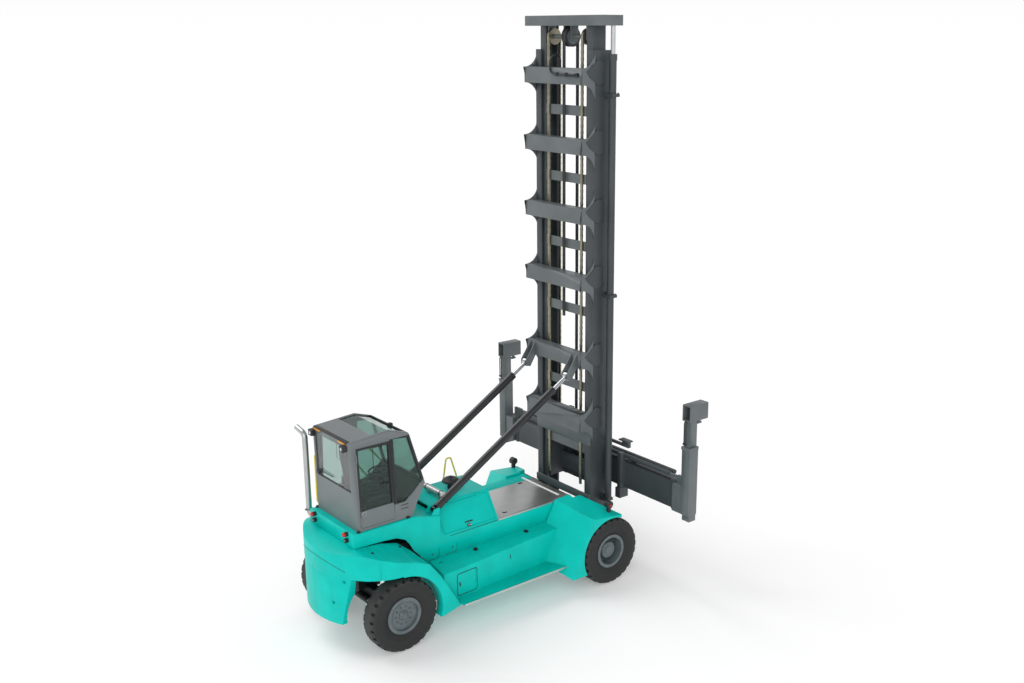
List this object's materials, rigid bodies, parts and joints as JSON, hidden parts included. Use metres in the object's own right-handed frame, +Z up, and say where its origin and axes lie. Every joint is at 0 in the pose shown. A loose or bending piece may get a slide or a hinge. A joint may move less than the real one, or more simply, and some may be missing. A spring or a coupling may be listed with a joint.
{
  "type": "empty container handler",
  "caption": "Mobile empty container handler with a tall two-stage mast, telescopic side-lifting spreader, engine hood and raised rear cab, on twin drive tyres and steered rear tyres.",
  "frame": {"origin": "on the ground at the middle of the machine's bounding box", "axes": "+X forward to the mast and spreader, +Y left, +Z up"},
  "size_m": [6.912, 6.062, 11.026],
  "materials": {
    "teal_paint": "satin enamel",
    "mast_grey": "satin enamel",
    "cab_grey": "satin enamel",
    "rim_grey": "satin enamel",
    "frame_black": "matt paint",
    "safety_yellow": "gloss enamel",
    "tyre_rubber": "matt",
    "rod_chrome": "polished",
    "bright_plate": "rolled",
    "pipe_steel": "brushed",
    "chain_steel": "oiled",
    "engine_iron": "painted",
    "black_plastic": "grained",
    "seat_fabric": "woven",
    "tinted_glass": "clear"
  },
  "bodies": {
    "chassis": {"main_frame": "frame_black", "engine_block": "engine_iron", "centre_body": "teal_paint", "deck_plates": "bright_plate", "step_strips": "bright_plate", "front_fenders": "teal_paint", "rear_fenders": "teal_paint", "engine_hood": "teal_paint", "side_tanks": "teal_paint", "drive_axle": "frame_black", "steer_axle": "frame_black", "counterweights": "teal_paint", "cab_frame": "cab_grey", "cab_glass": "tinted_glass", "seat": "seat_fabric", "console": "black_plastic", "exhaust_stack": "pipe_steel", "air_cleaner": "black_plastic", "canister": "pipe_steel", "handrails": "safety_yellow", "lamps": "black_plastic", "tilt_mounts": "teal_paint"},
    "tank_door": {"tank_hatch": "teal_paint"},
    "mast_outer": {"outer_uprights": "mast_grey", "mast_bows": "mast_grey", "lift_barrels": "mast_grey"},
    "mast_inner": {"inner_uprights": "mast_grey", "inner_bars": "mast_grey", "mast_head": "mast_grey", "lift_rods": "rod_chrome", "lift_chains": "chain_steel", "hose_sheave": "frame_black"},
    "lift_carriage": {"carriage": "mast_grey"},
    "spreader": {"spreader_beam": "mast_grey"},
    "hatch_left": {"engine_hatch_left": "teal_paint"},
    "door_left": {"cab_door_left": "cab_grey", "door_glass_left": "tinted_glass"},
    "drive_wheel_left": {"drive_tyres_left": "tyre_rubber", "drive_rims_left": "rim_grey"},
    "steer_knuckle_left": {"knuckle_left": "frame_black"},
    "steer_wheel_left": {"steer_rim_left": "rim_grey", "steer_tyre_left": "tyre_rubber"},
    "tilt_cylinder_left": {"tilt_barrel_left": "mast_grey"},
    "tilt_piston_left": {"tilt_rod_left": "rod_chrome"},
    "arm_left": {"spreader_arm_left": "mast_grey"},
    "head_left": {"spreader_head_left": "mast_grey"},
    "hatch_right": {"engine_hatch_right": "teal_paint"},
    "door_right": {"cab_door_right": "cab_grey", "door_glass_right": "tinted_glass"},
    "drive_wheel_right": {"drive_tyres_right": "tyre_rubber", "drive_rims_right": "rim_grey"},
    "steer_knuckle_right": {"knuckle_right": "frame_black"},
    "steer_wheel_right": {"steer_rim_right": "rim_grey", "steer_tyre_right": "tyre_rubber"},
    "tilt_cylinder_right": {"tilt_barrel_right": "mast_grey"},
    "tilt_piston_right": {"tilt_rod_right": "rod_chrome"},
    "arm_right": {"spreader_arm_right": "mast_grey"},
    "head_right": {"spreader_head_right": "mast_grey"}
  },
  "joints": [
    {"name": "mast_tilt", "type": "hinge", "parent": "chassis", "child": "mast_outer", "pos_m": [2.194, 0, 0.685], "axis": [0, 1, 0], "range_deg": [-3, 3]},
    {"name": "mast_lift", "type": "slide", "parent": "mast_outer", "child": "mast_inner", "axis": [0, 0, 1], "range_m": [-0.43, 7.5]},
    {"name": "carriage_lift", "type": "slide", "parent": "mast_inner", "child": "lift_carriage", "axis": [0, 0, 1], "range_m": [-0.43, 7.5]},
    {"name": "side_shift", "type": "slide", "parent": "lift_carriage", "child": "spreader", "axis": [0, 1, 0], "range_m": [-0.2, 0.2]},
    {"name": "drive_spin_left", "type": "hinge", "parent": "chassis", "child": "drive_wheel_left", "pos_m": [2.194, 1.34, 0.685], "axis": [0, 1, 0], "continuous": true},
    {"name": "steer_left", "type": "hinge", "parent": "chassis", "child": "steer_knuckle_left", "pos_m": [-2.406, 0.88, 0.685], "axis": [0, 0, 1], "range_deg": [-60, 60]},
    {"name": "steer_spin_left", "type": "hinge", "parent": "steer_knuckle_left", "child": "steer_wheel_left", "pos_m": [-2.406, 1.16, 0.685], "axis": [0, 1, 0], "continuous": true},
    {"name": "tilt_swing_left", "type": "hinge", "parent": "chassis", "child": "tilt_cylinder_left", "pos_m": [-1.286, 0.652, 2.205], "axis": [0, 1, 0], "range_deg": [-1.31, 1.31]},
    {"name": "tilt_stroke_left", "type": "slide", "parent": "tilt_cylinder_left", "child": "tilt_piston_left", "axis": [0.8529, 0, 0.5221], "range_m": [-0.165, 0.165]},
    {"name": "arm_extend_left", "type": "slide", "parent": "spreader", "child": "arm_left", "axis": [0, 1, 0], "range_m": [0, 3.05]},
    {"name": "head_drop_left", "type": "slide", "parent": "arm_left", "child": "head_left", "axis": [0, 0, 1], "range_m": [-0.305, 0]},
    {"name": "door_open_left", "type": "hinge", "parent": "chassis", "child": "door_left", "pos_m": [-2.861, 0.73316, 2.3], "axis": [0, -0.0566, 0.9984], "range_deg": [0, 85]},
    {"name": "hatch_open_left", "type": "hinge", "parent": "chassis", "child": "hatch_left", "pos_m": [-1.146, 0.47833, 2.155], "axis": [1, 0, 0], "range_deg": [0, 55]},
    {"name": "drive_spin_right", "type": "hinge", "parent": "chassis", "child": "drive_wheel_right", "pos_m": [2.194, -1.34, 0.685], "axis": [0, 1, 0], "continuous": true},
    {"name": "steer_right", "type": "hinge", "parent": "chassis", "child": "steer_knuckle_right", "pos_m": [-2.406, -0.88, 0.685], "axis": [0, 0, 1], "range_deg": [-60, 60]},
    {"name": "steer_spin_right", "type": "hinge", "parent": "steer_knuckle_right", "child": "steer_wheel_right", "pos_m": [-2.406, -1.16, 0.685], "axis": [0, 1, 0], "continuous": true},
    {"name": "tilt_swing_right", "type": "hinge", "parent": "chassis", "child": "tilt_cylinder_right", "pos_m": [-1.286, -0.652, 2.205], "axis": [0, 1, 0], "range_deg": [-1.31, 1.31]},
    {"name": "tilt_stroke_right", "type": "slide", "parent": "tilt_cylinder_right", "child": "tilt_piston_right", "axis": [0.8529, 0, 0.5221], "range_m": [-0.165, 0.165]},
    {"name": "arm_extend_right", "type": "slide", "parent": "spreader", "child": "arm_right", "axis": [0, -1, 0], "range_m": [0, 3.05]},
    {"name": "head_drop_right", "type": "slide", "parent": "arm_right", "child": "head_right", "axis": [0, 0, 1], "range_m": [-0.305, 0]},
    {"name": "door_open_right", "type": "hinge", "parent": "chassis", "child": "door_right", "pos_m": [-2.861, -0.73316, 2.3], "axis": [0, -0.0566, -0.9984], "range_deg": [0, 85]},
    {"name": "hatch_open_right", "type": "hinge", "parent": "chassis", "child": "hatch_right", "pos_m": [-1.146, -0.47833, 2.155], "axis": [-1, 0, 0], "range_deg": [0, 55]},
    {"name": "tank_door_open", "type": "hinge", "parent": "chassis", "child": "tank_door", "pos_m": [-0.766, -1.20152, 0.98], "axis": [0, 0, 1], "range_deg": [0, 110]}
  ],
  "couplings": [
    {"joint": "carriage_lift", "follows": "mast_lift", "ratio": 1},
    {"joint": "tilt_swing_left", "follows": "mast_tilt", "ratio": 0.4214},
    {"joint": "tilt_stroke_left", "follows": "mast_tilt", "m_per_rad": 3.1133},
    {"joint": "tilt_swing_right", "follows": "mast_tilt", "ratio": 0.4214},
    {"joint": "tilt_stroke_right", "follows": "mast_tilt", "m_per_rad": 3.1133},
    {"joint": "steer_left", "follows": "steer_right", "ratio": 1},
    {"joint": "arm_extend_left", "follows": "arm_extend_right", "ratio": 1},
    {"joint": "head_drop_left", "follows": "head_drop_right", "ratio": 1}
  ]
}
